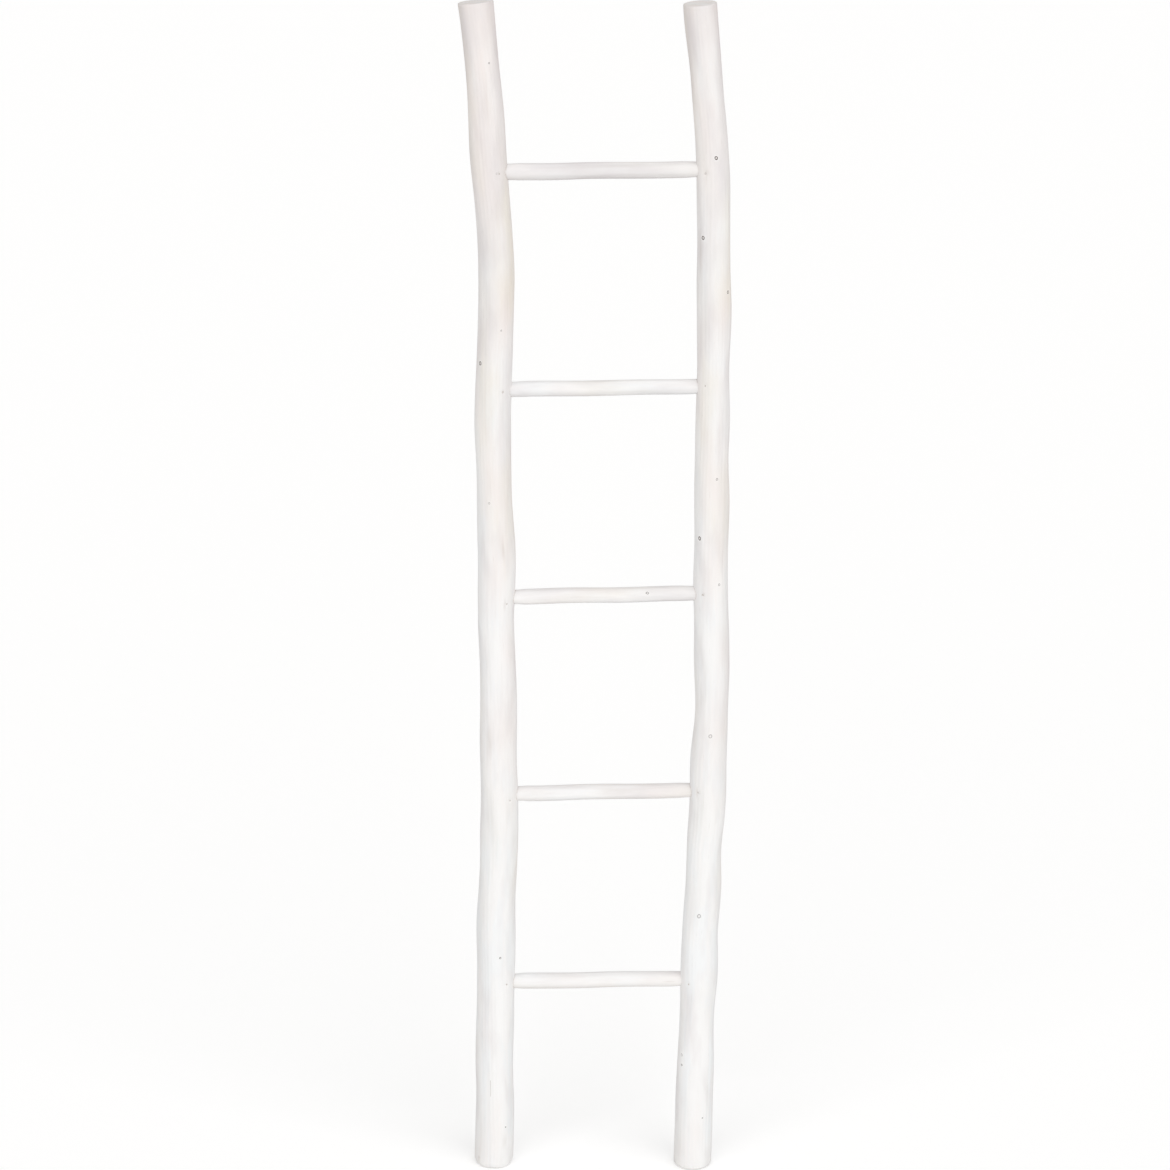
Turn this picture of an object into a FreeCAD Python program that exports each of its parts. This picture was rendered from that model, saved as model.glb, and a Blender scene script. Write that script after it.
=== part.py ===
"""Whitewashed blanket ladder made of peeled branches.

Two crooked branches stand as rails. Five thinner sticks are whittled at both ends, glued into
blind sockets bored in the rails and pinned there by one brad at each end, driven in from the front.

Frame: millimetres, +Z up the ladder, +X to the right of someone facing it, +Y away from them.
The origin is on the floor, under the middle of the ladder's box. The feet are sawn level at Z = 0.
"""
import FreeCAD
import Part
import math
import os
from FreeCAD import Vector

# ---- overall sizes ----
RAIL_LENGTH = 1725.0        # floor to the heart of the rails' top ends
RAIL_SPACING = 296.0        # between the two upright lines that the rails wander about
FIRST_RUNG_HEIGHT = 303.0   # floor to the lowest rung
HORN_LENGTH = 222.0         # rail left standing above the top rung

# ---- rails: branches, sawn level at the foot and square to themselves at the top ----
FOOT_CHAMFER = 4.0          # arris cut off the feet, so that they don't splinter
TOP_CHAMFER = 1.2           # arris sanded off the top ends
OVAL = 0.018                # how far a branch's section is from round, as shares of its radius
THREE_SIDED = 0.012
SECTION_TWIST = 200.0       # degrees that the section's shape turns from foot to top
OUTLINE_POINTS = 12         # points that each outline of a branch is drawn through
BAND_HEIGHT = 30.0          # of the bands that a rail's smooth surface is laid in, at most
JOINT_BAND = 36.0           # height of the one band that holds a rung's socket and brad

# A station is (share of the length, sideways, backwards, swelling), the last three in mm: how far
# the heart of the branch lies from its upright line there, and what is added to the diameter
# that the even taper from butt to tip gives.
LEFT_RAIL = {
    "side": -1,
    "butt_diameter": 57.6,
    "tip_diameter": 46.8,
    "section_turn": 20.0,
    "stations": (
        (0.000, -7.1, 3.0, -0.2),
        (0.040, -4.2, 1.5, 0.5),
        (0.100, -3.4, -0.6, -1.4),
        (0.160, -1.4, 0.8, -0.7),
        (0.200, 0.0, 2.2, -0.7),
        (0.230, 0.5, 3.0, 0.8),
        (0.270, 3.6, 3.2, -1.6),
        (0.340, 7.2, 0.6, -1.3),
        (0.380, 6.2, -1.2, -1.9),
        (0.420, 7.2, -2.6, -1.4),
        (0.470, 7.1, -2.4, -2.9),
        (0.505, 5.4, -0.6, -2.1),
        (0.545, 7.5, 1.6, 0.7),
        (0.585, 5.9, 3.4, -2.1),
        (0.630, 4.6, 3.8, -2.1),
        (0.685, 4.6, 1.9, -0.1),
        (0.730, 8.1, -0.2, -0.9),
        (0.780, 10.6, -2.4, 0.3),
        (0.820, 9.7, -2.2, -1.0),
        (0.870, 3.1, 0.7, 0.2),
        (0.915, -1.0, 3.0, 0.0),
        (0.960, -6.5, 4.6, -1.6),
        (1.000, -13.4, 7.0, 0.1),
    ),
}
RIGHT_RAIL = {
    "side": 1,
    "butt_diameter": 56.6,
    "tip_diameter": 43.0,
    "section_turn": 75.0,
    "stations": (
        (0.000, -6.1, -4.0, -1.2),
        (0.040, -4.8, -4.6, -1.5),
        (0.100, -3.4, -4.2, -2.0),
        (0.145, -2.1, -2.6, -5.7),
        (0.190, 0.8, -1.0, 0.6),
        (0.220, 0.4, 0.4, -1.6),
        (0.260, 5.0, 1.0, -2.5),
        (0.295, 4.7, 1.6, -2.1),
        (0.340, 10.1, 2.2, -0.2),
        (0.365, 9.2, 2.0, 0.4),
        (0.410, 12.2, 0.6, -2.1),
        (0.470, 11.8, 0.4, -0.7),
        (0.510, 10.3, 1.4, 0.4),
        (0.545, 8.9, 2.4, -1.8),
        (0.600, 8.1, 4.8, 0.7),
        (0.640, 7.5, 5.4, -1.3),
        (0.670, 8.0, 5.0, -0.6),
        (0.710, 7.8, 4.0, -2.4),
        (0.775, 6.9, 2.0, -0.1),
        (0.810, 5.4, 1.6, -1.4),
        (0.875, 3.6, 2.8, -1.4),
        (0.895, 1.1, 2.9, -2.7),
        (0.930, -4.2, 1.2, -2.4),
        (0.960, -10.0, -1.6, -1.5),
        (1.000, -16.8, -5.0, -0.6),
    ),
}

# ---- rungs: sticks whittled down to one socket size at their ends ----
RUNG_DIAMETER = 22.6        # of a middling stick
TENON_SHOULDER = 0.7        # whittled off it all round
TENON_DEPTH = 24.0          # from the rail's surface to the end of the tenon
TENON_CHAMFER = 1.0
TENON_LEAD = 1.0            # full tenon roundness begins this far outside the rail
WHITTLED_LENGTH = 12.0      # over which the stick swells from the tenon to its full size

# name, how much thicker than the middling stick it is, how much higher its right end is, and how
# far above its axis the left and the right brad go in
RUNGS = (
    ("bottom_rung", 1.2, 6.3, 5.5, 1.5),
    ("fourth_rung", 0.3, 5.6, -2.0, 5.0),
    ("middle_rung", 0.0, 6.1, -3.0, 4.5),
    ("second_rung", -0.8, 4.1, 2.5, 6.0),
    ("top_rung", 0.7, 3.7, 2.0, -2.0),
)

# ---- sockets ----
GLUE_GAP = 0.1              # all round the tenon
SOCKET_END_GAP = 0.8        # glue room beyond the tenon's end

# ---- brads ----
BRAD_LENGTH = 32.0
BRAD_SHANK = 1.8
BRAD_HEAD = 3.0
BRAD_HEAD_THICKNESS = 1.0
BRAD_SET = 0.6              # how deep the head's middle is punched below the surface
BRAD_INSET = 11.5           # from the rail's surface, along the tenon
BRAD_GAP = 0.05             # all round shank and head

# ---- what follows from the sizes above ----
RUNG_PITCH = (RAIL_LENGTH - FIRST_RUNG_HEIGHT - HORN_LENGTH) / (len(RUNGS) - 1)
TENON_DIAMETER = RUNG_DIAMETER - 2 * TENON_SHOULDER
OUTWARDS = RAIL_SPACING     # longer than any way from inside a rail to its surface

UP = Vector(0, 0, 1)
BACK = Vector(0, 1, 0)


def curve_through(points):
    """One smooth curve through a row of points."""
    curve = Part.BSplineCurve()
    curve.interpolate(points)
    return curve


def heart_curve(rail):
    """The heart of a branch, which wanders about its upright line."""
    line_x = rail["side"] * RAIL_SPACING / 2
    return curve_through([
        Vector(line_x + sideways, backwards, share * RAIL_LENGTH)
        for share, sideways, backwards, _ in rail["stations"]
    ])


def girth_curve(rail):
    """The diameter of a branch over its height, as a curve whose X is the diameter."""
    butt = rail["butt_diameter"]
    tip = rail["tip_diameter"]
    return curve_through([
        Vector(butt + share * (tip - butt) + swelling, 0, share * RAIL_LENGTH)
        for share, _, _, swelling in rail["stations"]
    ])


def point_at(curve, height):
    """The point of an upright curve at a height."""
    level = Part.Plane(UP * height, UP)
    point = curve.intersectCS(level)[0][0]
    return Vector(point.X, point.Y, point.Z)


def section_radius(radius, angle, turn):
    """Radius of a branch's section at an angle: round, slightly oval and slightly three-sided."""
    wobble = OVAL * math.cos(2 * (angle - turn)) + THREE_SIDED * math.cos(3 * (angle + turn))
    return radius * (1 + wobble)


def section_outline(centre, along, radius, turn):
    """The closed outline of a branch, square to the direction it grows in. It starts at the back,
    so that the seam of the skin lies where nothing is bored."""
    behind = (BACK - along * along.y).normalize()
    aside = along.cross(behind)
    points = []
    for k in range(OUTLINE_POINTS):
        angle = 2 * math.pi * k / OUTLINE_POINTS
        reach = section_radius(radius, angle, turn)
        points.append(centre + behind * (reach * math.cos(angle)) + aside * (reach * math.sin(angle)))
    outline = Part.BSplineCurve()
    outline.interpolate(Points=points, PeriodicFlag=True, Parameters=list(range(OUTLINE_POINTS + 1)))
    return outline


def rung_height(number):
    """Where the middle of a rung lies above the floor, counted from the lowest."""
    return FIRST_RUNG_HEIGHT + number * RUNG_PITCH


def band_edges():
    """How far up the bands of a rail's skin begin and end, as shares of the length. Each joint
    has a band of its own, and what is left between two of them is shared out evenly."""
    marks = [0]
    for number in range(len(RUNGS)):
        marks += [rung_height(number) - JOINT_BAND / 2, rung_height(number) + JOINT_BAND / 2]
    marks.append(RAIL_LENGTH)
    edges = [0]
    for i, (low, high) in enumerate(zip(marks, marks[1:])):
        count = 1 if i % 2 else math.ceil((high - low) / BAND_HEIGHT)
        edges += [(low + (high - low) * (k + 1) / count) / RAIL_LENGTH for k in range(count)]
    return edges


def outline_shares():
    """How far up a branch each of its outlines lies, as shares of the length: at the means of
    three band edges in a row, with which the skin's own measure is the share of the length."""
    edges = band_edges()
    padded = edges[:1] * 2 + edges + edges[-1:] * 2
    return [sum(padded[k:k + 3]) / 3 for k in range(len(edges) + 2)]


def skin(outlines):
    """The solid under one smooth surface that is drawn over the outlines, from end to end.

    The outlines share their knots, so the surface's control points are theirs, and along the
    solid they act as those of a clamped cubic curve. Such a surface can't swing out between them.
    It is laid in bands, because a long thin face gets far more facets than its shape needs.
    """
    edges = band_edges()
    surface = Part.BSplineSurface()
    surface.buildFromPolesMultsKnots(
        [list(column) for column in zip(*(outline.getPoles() for outline in outlines))],
        outlines[0].getMultiplicities(),
        [4] + [1] * (len(edges) - 2) + [4],
        outlines[0].getKnots(),
        edges,
        True,
        False,
        outlines[0].Degree,
        3,
    )
    start, end = surface.bounds()[:2]
    bands = [surface.toShape(start, end, low, high) for low, high in zip(edges, edges[1:])]
    ends = [Part.Face(Part.Wire(outline.toShape())) for outline in (outlines[0], outlines[-1])]
    shell = Part.makeShell(bands + ends)
    shell.sewShape()
    return Part.makeSolid(shell)


def ease_end(solid, top, chamfer):
    """Takes the arris off the flat face at the solid's top or bottom end."""
    flats = [face for face in solid.Faces if isinstance(face.Surface, Part.Plane)]
    end = (max if top else min)(flats, key=lambda face: face.CenterOfMass.z)
    return solid.makeChamfer(chamfer, end.Edges)


def branch(rail):
    """A rail before it is bored."""
    heart = heart_curve(rail)
    girth = girth_curve(rail)
    outlines = []
    for share in outline_shares():
        centre = point_at(heart, share * RAIL_LENGTH)
        radius = point_at(girth, share * RAIL_LENGTH).x / 2
        turn = math.radians(rail["section_turn"] + share * SECTION_TWIST)
        along = heart.tangent(heart.parameter(centre))[0] if share else UP
        outlines.append(section_outline(centre, along, radius, turn))
    return ease_end(ease_end(skin(outlines), False, FOOT_CHAMFER), True, TOP_CHAMFER)


def way_out(blank, start, direction):
    """The point where a straight way from inside a branch leaves its surface."""
    inside = Part.makeLine(start, start + direction * OUTWARDS).common(blank)
    return max((vertex.Point for vertex in inside.Vertexes), key=start.distanceToPoint)


def seat_rung(number, rise, hearts, blanks):
    """Where one rung meets the rails: its two entry points and its axis, from left to right."""
    left_heart = point_at(hearts[0], rung_height(number) - rise / 2)
    right_heart = point_at(hearts[1], rung_height(number) + rise / 2)
    axis = (right_heart - left_heart).normalize()
    return way_out(blanks[0], left_heart, axis), way_out(blanks[1], right_heart, -axis), axis


def turned(outline, start, direction):
    """A round solid from half its outline, whose X is the radius and whose Z is the distance."""
    solid = Part.Face(Part.Wire(outline)).revolve(Vector(), UP, 360)
    solid.Placement = FreeCAD.Placement(start, FreeCAD.Rotation(UP, direction))
    return solid


def lines_through(points):
    """Straight edges through points that are given as (radius, distance)."""
    return Part.makePolygon([Vector(radius, 0, distance) for radius, distance in points]).Edges


def make_rung(extra, left_entry, right_entry, axis):
    """A rung in one piece: a tenon, a stick that is whittled down to it at each end, a tenon."""
    length = left_entry.distanceToPoint(right_entry) + 2 * TENON_DEPTH
    tenon = TENON_DIAMETER / 2
    stick = (RUNG_DIAMETER + extra) / 2
    root = TENON_DEPTH + TENON_LEAD
    left_half = [
        (0, 0),
        (tenon - TENON_CHAMFER, 0),
        (tenon, TENON_CHAMFER),
        (tenon, root),
        (stick, root + WHITTLED_LENGTH),
    ]
    right_half = [(radius, length - distance) for radius, distance in reversed(left_half)]
    outline = lines_through(left_half + right_half + left_half[:1])
    return turned(outline, left_entry - axis * TENON_DEPTH, axis)


def socket(entry, outwards):
    """What is bored out of a rail for one tenon. It starts outside the rail."""
    depth = TENON_LEAD + TENON_DEPTH + SOCKET_END_GAP
    return Part.makeCylinder(TENON_DIAMETER / 2 + GLUE_GAP, depth, entry - outwards * TENON_LEAD, outwards)


def brad_shape(head_top, gap=0.0, open_above=0.0):
    """A brad driven straight back, or with a gap round it and an open way above it, its hole."""
    head = BRAD_HEAD / 2 + gap
    shank = BRAD_SHANK / 2 + gap
    outline = lines_through((
        (0, -open_above),
        (head, -open_above),
        (head, BRAD_HEAD_THICKNESS + gap),
        (shank, BRAD_HEAD_THICKNESS + gap),
        (shank, BRAD_LENGTH + gap),
        (0, BRAD_LENGTH + gap),
        (0, -open_above),
    ))
    return turned(outline, head_top, BACK)


def place_brad(blank, entry, outwards, lift):
    """The middle of a brad's head: over the tenon, just below the front of the rail."""
    inside = entry + outwards * BRAD_INSET + UP * lift
    return way_out(blank, inside, -BACK) + BACK * BRAD_SET


def build():
    """All the pieces by name."""
    hearts = [heart_curve(LEFT_RAIL), heart_curve(RIGHT_RAIL)]
    blanks = [branch(LEFT_RAIL), branch(RIGHT_RAIL)]
    rails = list(blanks)
    brads = [[], []]
    pieces = {}
    for number, rung in enumerate(RUNGS):
        name, extra, rise, left_lift, right_lift = rung
        left_entry, right_entry, axis = seat_rung(number, rise, hearts, blanks)
        solid = make_rung(extra, left_entry, right_entry, axis)
        ends = ((left_entry, -axis, left_lift), (right_entry, axis, right_lift))
        for side, (entry, outwards, lift) in enumerate(ends):
            head_top = place_brad(blanks[side], entry, outwards, lift)
            hole = brad_shape(head_top, BRAD_GAP, BRAD_HEAD)
            rails[side] = rails[side].cut(socket(entry, outwards)).cut(hole)
            solid = solid.cut(hole)
            brads[side].append(brad_shape(head_top))
        pieces[name] = solid
    pieces["left_rail"], pieces["right_rail"] = rails
    pieces["left_brads"] = Part.makeCompound(brads[0])
    pieces["right_brads"] = Part.makeCompound(brads[1])
    return pieces


def centre_on_floor(pieces):
    """Moves all the pieces together, so that the origin is under the middle of their box."""
    box = Part.makeCompound([pieces["left_rail"], pieces["right_rail"]]).optimalBoundingBox(False)
    for shape in pieces.values():
        shape.translate(Vector(-box.Center.x, -box.Center.y, 0))


def main():
    """Builds the ladder and writes one file per piece."""
    os.makedirs("parts", exist_ok=True)
    pieces = build()
    centre_on_floor(pieces)
    for name, shape in pieces.items():
        shape.exportStep(f"parts/{name}.step")
        print(name, "solids", len(shape.Solids), "faces", len(shape.Faces), "valid", shape.isValid(),
              "cm3", round(shape.Volume / 1000, 2))


main()
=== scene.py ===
# %% [markdown]
# # A whitewashed blanket ladder
#
# The real ladder is made of two peeled branches with five thinner sticks let into them. Everything
# was then brushed with thin white paint, so the wood is pale but its fibres, its small knots and
# its warm colour still show. The packed model gives the sizes: it is loaded first, as a fixed
# frame, and each piece made below stays where its node is.

import bpy
import numpy as np
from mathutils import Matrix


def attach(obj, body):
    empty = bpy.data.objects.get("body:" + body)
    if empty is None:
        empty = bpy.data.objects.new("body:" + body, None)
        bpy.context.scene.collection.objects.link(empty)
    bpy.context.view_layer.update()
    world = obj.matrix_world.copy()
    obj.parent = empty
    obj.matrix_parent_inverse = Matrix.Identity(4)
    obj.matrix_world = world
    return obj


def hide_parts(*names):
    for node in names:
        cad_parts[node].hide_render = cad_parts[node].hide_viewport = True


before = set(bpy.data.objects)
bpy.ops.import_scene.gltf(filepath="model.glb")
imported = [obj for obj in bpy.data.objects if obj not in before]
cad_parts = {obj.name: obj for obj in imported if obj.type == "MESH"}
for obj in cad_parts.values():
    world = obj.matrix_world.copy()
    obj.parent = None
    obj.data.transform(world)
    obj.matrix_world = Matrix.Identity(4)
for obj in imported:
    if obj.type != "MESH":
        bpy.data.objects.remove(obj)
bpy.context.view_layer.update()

# %% [markdown]
# ## Reading a branch off its node
#
# The frame's rails are smooth and have sockets and brad holes in them. A branch is easier to
# detail as two functions of the height: where its heart is, and how far its surface lies from the
# heart in each direction. Both can be read off the node's own points by least squares. The
# alternative would be to displace the node's triangles, but they are long and uneven, and a
# regular grid takes fine relief much better.

# %% The parts that a smooth curve is added up from
RAIL_LENGTH = 1.725      # metres, along the upright line
CURVE_STEP = 0.030       # between the bumps that a curve is made of
LOBES = 4                # the finest lobes in a branch's section


def bump(t):
    """One cubic B-spline bump: 2/3 high at t = 0, and nothing beyond t = 2 on either side.
    Inside 1 it is (4 - 6 t^2 + 3 t^3) / 6, and from 1 to 2 it is (2 - t)^3 / 6."""
    t = np.abs(t)
    return np.where(t < 1, (4 - 6 * t**2 + 3 * t**3) / 6, np.clip(2 - t, 0, None) ** 3 / 6)


def lobes(angle):
    """A column of ones, then cos(k angle) for k = 1 to 4, then sin(k angle) for the same k."""
    turns = np.outer(angle, np.arange(1, LOBES + 1))
    return np.column_stack([np.ones(angle.size), np.cos(turns), np.sin(turns)])


def node_points(name):
    """The places of a node's corners, each once."""
    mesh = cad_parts[name].data
    places = np.empty(len(mesh.vertices) * 3, np.float32)
    mesh.vertices.foreach_get("co", places)
    return np.unique(places.reshape(-1, 3).round(6), axis=0).astype(float)


print("a bump is", bump(np.array([0.0, 1.0, 2.0])).round(3), "high at 0, 1 and 2 steps")

# %% Fit heart and girth to a rail's points
RAIL_NAMES = ("left_rail", "right_rail")
HEIGHTS = np.arange(-0.004, RAIL_LENGTH + 0.008, 0.001)    # the rows of a branch's table
HEART_CALM = 8           # how strongly a bend of the heart is held back in the first guess
GIRTH_CALM = 0.05        # and a bend of the girth in each round
FOOT_ARRIS = 0.0035      # how high the eased arris of the foot reaches
TOP_ARRIS = 0.0006       # and how far down that of the top does
TOP_SPAN = np.array([1.690, 1.710])     # two heights that give the branch's slant at the top
FIRST_TOP = 1.705        # the first round leaves out what is higher than this
FIRST_SHARE = 0.9        # and what is nearer to the heart than this share of the median reach
SKIN_LIMITS = (0.004, 0.002, 0.001, 0.0005, 0.0003)    # farthest off the skin, round by round


def solve_girth(lift, around, reach, stretch, calm):
    """Least squares: reach = sum of girth times lift times around. Only four bumps reach any
    height, so the sums are gathered stretch by stretch, each with the points between two bumps."""
    count, width = lift.shape[1], around.shape[1]
    sums = GIRTH_CALM * np.kron(calm, np.eye(width))
    right = np.zeros(len(sums))
    for k in range(1, count - 2):
        here = stretch == k
        part = lift[here, k - 1:k + 3][:, :, None] * around[here][:, None, :]
        part = part.reshape(-1, 4 * width)
        rows = slice((k - 1) * width, (k + 3) * width)
        sums[rows, rows] += part.T @ part
        right[rows] += part.T @ reach[here]
    return np.linalg.solve(sums, right).reshape(count, width)


def read_branch(name):
    """reach(angle, height) = sum of bumps over the height times lobes round it. The first lobe
    says how far the heart is off, so it is moved there and the fit is repeated. Points that lie
    off the skin by more than a limit belong to sockets, and are left out, and so are those of
    the eased arrises at both ends."""
    points = node_points(name)
    centres = np.arange(-1, round(RAIL_LENGTH / CURVE_STEP) + 4) * CURVE_STEP
    lift = bump((points[:, 2:] - centres) / CURVE_STEP)
    stretch = np.floor((points[:, 2] - centres[0]) / CURVE_STEP).astype(int)
    second = np.diff(np.eye(centres.size), 2, axis=0)
    calm = second.T @ second
    heart = np.linalg.solve(lift.T @ lift + HEART_CALM * calm, lift.T @ points[:, :2])
    for limit in (None, *SKIN_LIMITS):
        away = points[:, :2] - lift @ heart
        reach = np.hypot(*away.T)
        around = lobes(np.arctan2(away[:, 1], away[:, 0]))
        used = points[:, 2] > FOOT_ARRIS
        if limit is None:
            used &= points[:, 2] < FIRST_TOP
            used &= reach > FIRST_SHARE * np.median(reach)
        else:
            ends = bump((TOP_SPAN[:, None] - centres) / CURVE_STEP) @ heart
            level = points[:, 2] + away @ (ends[1] - ends[0]) / (TOP_SPAN[1] - TOP_SPAN[0])
            used &= level < RAIL_LENGTH - TOP_ARRIS
            used &= np.abs(((lift @ girth) * around).sum(1) - reach) < limit
        girth = solve_girth(lift[used], around[used], reach[used], stretch[used], calm)
        miss = 1000 * np.abs(((lift @ girth) * around).sum(1) - reach)[used]
        heart = heart + girth[:, [1, 1 + LOBES]]
        girth[:, [1, 1 + LOBES]] = 0
    fine = bump((HEIGHTS[:, None] - centres) / CURVE_STEP)
    print(name, "points", len(points), "on the skin", used.sum(),
          "mean miss in mm", miss.mean().round(3), "most", miss.max().round(3))
    return {"heart": fine @ heart, "girth": fine @ girth}


branches = {name: read_branch(name) for name in RAIL_NAMES}

# %% Look a branch up at any height and angle


def heart_at(branch, height):
    """X and Y of the branch's heart, read between two rows of its table."""
    return [np.interp(height, HEIGHTS, column) for column in branch["heart"].T]


def reach_at(branch, angle, height):
    """Mean radius at that height, plus its cosine and sine lobes at that angle."""
    columns = [np.interp(height, HEIGHTS, column) for column in branch["girth"].T]
    total = columns[0]
    for k in range(1, LOBES + 1):
        total = total + columns[k] * np.cos(k * angle) + columns[k + LOBES] * np.sin(k * angle)
    return total


for name, branch in branches.items():
    radii = np.interp([0, RAIL_LENGTH / 2, RAIL_LENGTH], HEIGHTS, branch["girth"][:, 0])
    print(name, "girth in mm at foot, middle and top:", (2000 * radii).round(1))

# %% [markdown]
# ## Marks on the wood
#
# A peeled branch carries a pin knot wherever a twig grew: a dark ring a few millimetres across
# round a paler heart, on a slight swelling, with the fibres parting round it. Fine drying cracks
# follow the fibres. Each mark is a row of numbers here, placed as in the photograph on the front
# and freely on the back. The mesh carries them in attributes, so that both the relief and the
# paint can follow them.

# %% Knots
# height in m, angle in degrees (-90 is the front, 0 the right), ring radius in mm, darkness;
# first those on the front
KNOTS = {
    "left_rail": (
        (1.649, -63, 1.0, 0.6), (1.504, -66, 1.0, 0.3), (1.291, -71, 1.0, 0.5),
        (1.243, -140, 2.0, 0.9), (1.045, -106, 1.2, 0.4), (0.351, -76, 1.2, 0.8),
        (0.071, -58, 0.9, 0.6), (0.009, -140, 1.0, 1.0),
        (1.560, 62, 2.2, 0.7), (1.120, 118, 3.0, 0.7), (0.745, 72, 2.0, 0.8),
        (0.455, 138, 2.6, 0.5), (0.205, 95, 1.6, 0.6), (0.860, 176, 2.4, 0.7),
        (0.540, 20, 1.8, 0.6),
    ),
    "right_rail": (
        (1.524, -79, 1.7, 1.0), (1.416, -130, 1.8, 1.0), (1.341, -38, 1.6, 0.8),
        (1.079, -74, 1.3, 0.6), (0.992, -133, 1.9, 1.0), (0.926, -65, 1.3, 0.5),
        (0.700, -93, 2.1, 0.4), (0.418, -101, 2.2, 0.5), (0.190, -141, 1.6, 0.4),
        (0.174, -139, 1.2, 0.7), (0.089, -64, 0.9, 0.8),
        (1.610, 100, 1.8, 0.7), (1.255, 42, 3.0, 0.7), (0.840, 82, 2.2, 0.8),
        (0.560, 128, 2.8, 0.5), (0.262, 60, 1.8, 0.6), (1.130, 8, 2.0, 0.6),
    ),
}
print({name: len(rows) for name, rows in KNOTS.items()}, "knots")

# %% Stains and cracks
# height, angle, half length in mm, half width in mm, darkness
STAINS = {
    "left_rail": (
        (0.977, -65, 16, 3.5, 0.5), (0.897, -62, 9, 2.0, 0.6), (0.045, -60, 13, 3.5, 0.7),
        (1.600, -80, 34, 7.0, 0.4), (1.455, -72, 30, 8.0, 0.4), (0.690, -120, 22, 6.0, 0.5),
        (0.620, 96, 26, 6.0, 0.5), (1.350, 80, 30, 7.0, 0.4), (0.011, -143, 2.5, 3.0, 2.5),
    ),
    "right_rail": (
        (1.395, -140, 34, 4.0, 0.6), (0.760, -125, 22, 5.0, 0.4), (1.505, -112, 5, 2.5, 0.5),
        (0.611, -130, 8, 1.6, 0.9), (0.610, -8, 26, 5.0, 0.4), (1.180, 100, 30, 6.0, 0.5),
        (0.360, 75, 24, 6.0, 0.4),
    ),
}
# lowest and highest point in m, angle, depth in mm
CRACKS = {
    "left_rail": (
        (0.122, 0.150, -102, 0.3), (1.640, 1.726, 128, 0.5), (0.000, 0.062, 74, 0.5),
        (0.930, 0.985, 105, 0.3),
    ),
    "right_rail": (
        (1.655, 1.726, 58, 0.5), (0.000, 0.055, 118, 0.4), (0.640, 0.705, 68, 0.3),
    ),
}
print({name: len(STAINS[name]) for name in RAIL_NAMES}, "stains and",
      {name: len(CRACKS[name]) for name in RAIL_NAMES}, "cracks")

# %% Distances to the marks, along the surface
FAR = 50.0               # ring radii: the distance where no knot is near
RING_LENGTH = 1.2        # a knot's ring is this much longer than wide
PARTING = 0.8            # how strongly a knot pushes the fibres apart
PARTING_WIDTH = 3.0      # how far round the branch it does so, in ring radii
PARTING_LENGTH = 2.2     # how much farther along it


def turned_by(angle, degrees):
    """The angle from a mark's own direction, between minus and plus half a turn."""
    return (angle - np.radians(degrees) + np.pi) % (2 * np.pi) - np.pi


def nearest_knot(angle, height, radius, rows):
    """Distance to the nearest knot in ring radii, and how dark that knot is. The distance is
    the hypotenuse of the way round (angle times radius) and the way along, where rings are
    a little longer than wide."""
    distance = np.full(angle.shape, FAR)
    darkness = np.zeros(angle.shape)
    for level, degrees, ring, dark in rows:
        across = turned_by(angle, degrees) * radius
        away = np.hypot(across, (height - level) / RING_LENGTH) / (ring / 1000)
        darkness = np.where(away < distance, dark, darkness)
        distance = np.minimum(distance, away)
    return distance, darkness


def stain_field(angle, height, radius, rows):
    """Sum of soft ovals exp(-(across/width)^2 - (along/length)^2), each times its darkness."""
    total = np.zeros(angle.shape)
    for level, degrees, length, width, dark in rows:
        across = turned_by(angle, degrees) * radius * 1000 / width
        along = (height - level) * 1000 / length
        total = total + dark * np.exp(-across**2 - along**2)
    return total


def parted_angle(angle, height, radius, rows):
    """The angle that the fibres are counted by. Near a knot it is drawn together by a factor of
    1 - 0.8 exp(-distance^2), which pushes the fibre lines apart round the knot."""
    parted = angle
    for level, degrees, ring, _ in rows:
        turn = turned_by(angle, degrees)
        size = ring * PARTING_WIDTH / 1000
        along = (height - level) / (PARTING_LENGTH * size)
        parted = parted - PARTING * turn * np.exp(-((turn * radius / size) ** 2) - along**2)
    return parted


print("fibres part over", PARTING_WIDTH * KNOTS["left_rail"][0][2], "mm beside the highest knot")

# %% [markdown]
# ## Relief of a peeled branch
#
# Under the bark a branch isn't turned: it has low swellings, long ridges where it grew faster, and
# flats that the drawknife left. These can be added up from waves that run round and along it. Waves
# with whole numbers of turns close on themselves, so there is no seam. A displacement texture
# would do as well, but the waves stay in the mesh itself.

# %% Waves round and along


def waves(angle, along, seed, turns, rate, count):
    """Mean of cosines cos(turns * angle + 2 pi rate * along + phase), scaled to about 1.
    turns and rate are (least, most), drawn for each wave from a seeded source."""
    source = np.random.default_rng(seed)
    total = np.zeros(np.broadcast(angle, along).shape)
    for _ in range(count):
        k = source.integers(turns[0], turns[1] + 1)
        f = source.uniform(*rate) * source.choice((-1, 1))
        total = total + np.cos(k * angle + 2 * np.pi * f * along + source.uniform(0, 2 * np.pi))
    return total / np.sqrt(count / 2)


def smooth(value, low, high):
    """0 below low, 1 above high, and 3 s^2 - 2 s^3 between them."""
    share = np.clip((value - low) / (high - low), 0, 1)
    return share * share * (3 - 2 * share)


sample = waves(np.linspace(0, 6, 200), 0.3, 5, (2, 5), (1, 8), 12)
print("waves go from", sample.min().round(2), "to", sample.max().round(2))

# %% Where the brads' heads and the rungs' ends are
RUNG_NAMES = ("bottom_rung", "fourth_rung", "middle_rung", "second_rung", "top_rung")
BRADS = {"left_rail": "left_brads", "right_rail": "right_brads"}


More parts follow.
